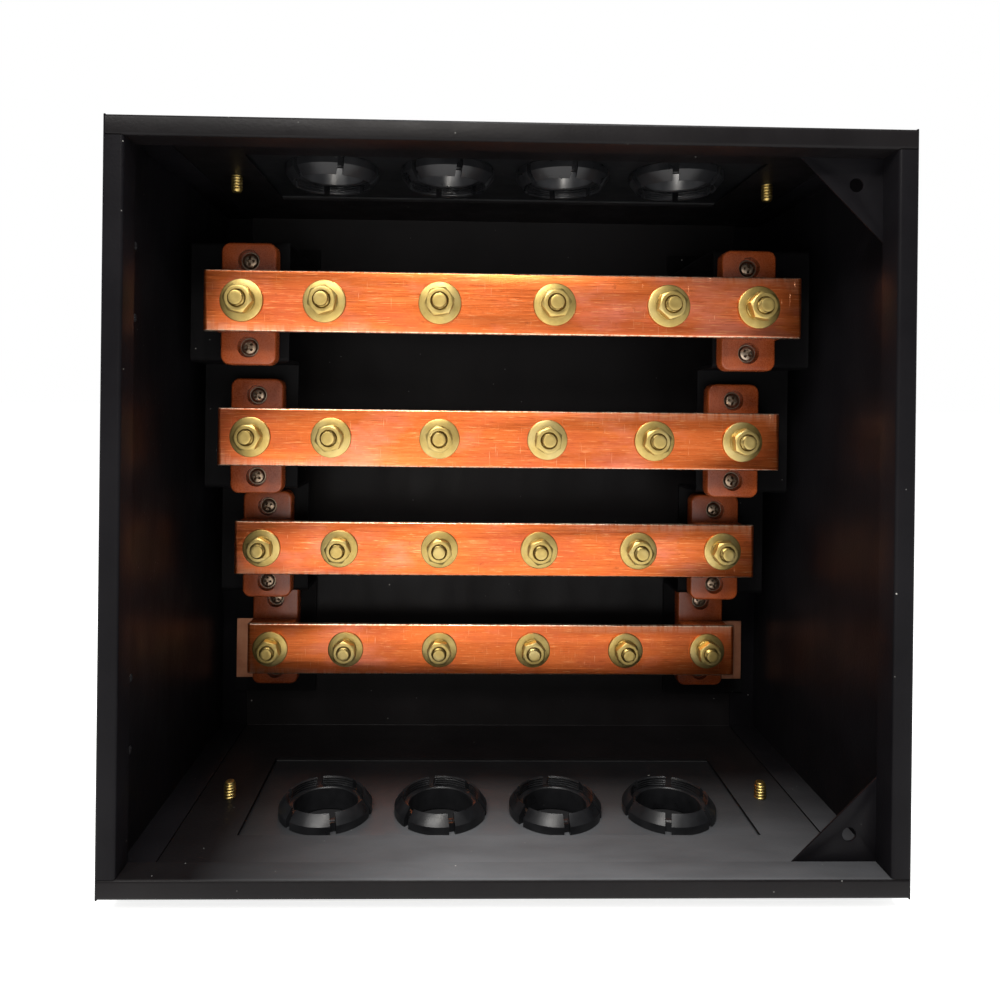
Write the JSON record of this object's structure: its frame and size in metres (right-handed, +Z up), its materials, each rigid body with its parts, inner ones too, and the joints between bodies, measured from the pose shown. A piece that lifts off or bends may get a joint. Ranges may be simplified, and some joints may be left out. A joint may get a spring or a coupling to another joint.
{
  "type": "busbar distribution box",
  "caption": "Open-fronted wall-mounted steel busbar box with stepped copper bars on moulded insulators, terminal studs and cable bushes in floor and ceiling.",
  "frame": {"origin": "centre of the outer back face, which is the wall plane", "axes": "+X to the right seen from the front, +Y into the wall, +Z up; the open front faces -Y"},
  "size_m": [0.45, 0.236, 0.45],
  "materials": {
    "shell_paint": "satin black powder coat",
    "side_paint": "satin black powder coat",
    "plate_paint": "satin black powder coat",
    "bracket_paint": "black powder coat",
    "gasket_foam": "closed-cell foam",
    "washer_rubber": "matt",
    "black_nylon": "moulded, slightly glossy",
    "yellow_zinc": "yellow passivated zinc on steel",
    "dull_copper": "dull bare copper",
    "copper": "brushed bare copper",
    "brass": "turned",
    "insulator_moulding": "moulded thermoset, half gloss",
    "screw_steel": "zinc plated, dull"
  },
  "bodies": {
    "root": {"main_shell": "shell_paint", "side_panel_left": "side_paint", "side_panel_right": "side_paint", "gusset_top": "side_paint", "gusset_bottom": "side_paint", "gland_plate_top": "plate_paint", "gland_plate_bottom": "plate_paint", "gland_gasket_top": "gasket_foam", "gland_gasket_bottom": "gasket_foam", "gland_screws_top": "yellow_zinc", "gland_screws_bottom": "yellow_zinc", "bush_bodies_top": "black_nylon", "bush_bodies_bottom": "black_nylon", "bush_washers_top": "washer_rubber", "bush_washers_bottom": "washer_rubber", "bush_locknuts_top": "black_nylon", "bush_locknuts_bottom": "black_nylon", "bracket_left": "bracket_paint", "bracket_right": "bracket_paint", "backing_plate_left": "dull_copper", "backing_plate_right": "dull_copper", "insulator_inserts_left": "brass", "insulator_inserts_right": "brass", "insulator_screws_left": "screw_steel", "insulator_screws_right": "screw_steel", "insulator_left_1": "insulator_moulding", "insulator_left_2": "insulator_moulding", "insulator_left_3": "insulator_moulding", "insulator_left_4": "insulator_moulding", "insulator_right_1": "insulator_moulding", "insulator_right_2": "insulator_moulding", "insulator_right_3": "insulator_moulding", "insulator_right_4": "insulator_moulding", "busbar_1": "copper", "studs_1": "yellow_zinc", "plain_washers_1": "yellow_zinc", "spring_washers_1": "yellow_zinc", "nuts_1": "yellow_zinc", "busbar_2": "copper", "studs_2": "yellow_zinc", "plain_washers_2": "yellow_zinc", "spring_washers_2": "yellow_zinc", "nuts_2": "yellow_zinc", "busbar_3": "copper", "studs_3": "yellow_zinc", "plain_washers_3": "yellow_zinc", "spring_washers_3": "yellow_zinc", "nuts_3": "yellow_zinc", "busbar_4": "copper", "studs_4": "yellow_zinc", "plain_washers_4": "yellow_zinc", "spring_washers_4": "yellow_zinc", "nuts_4": "yellow_zinc"}
  },
  "joints": []
}
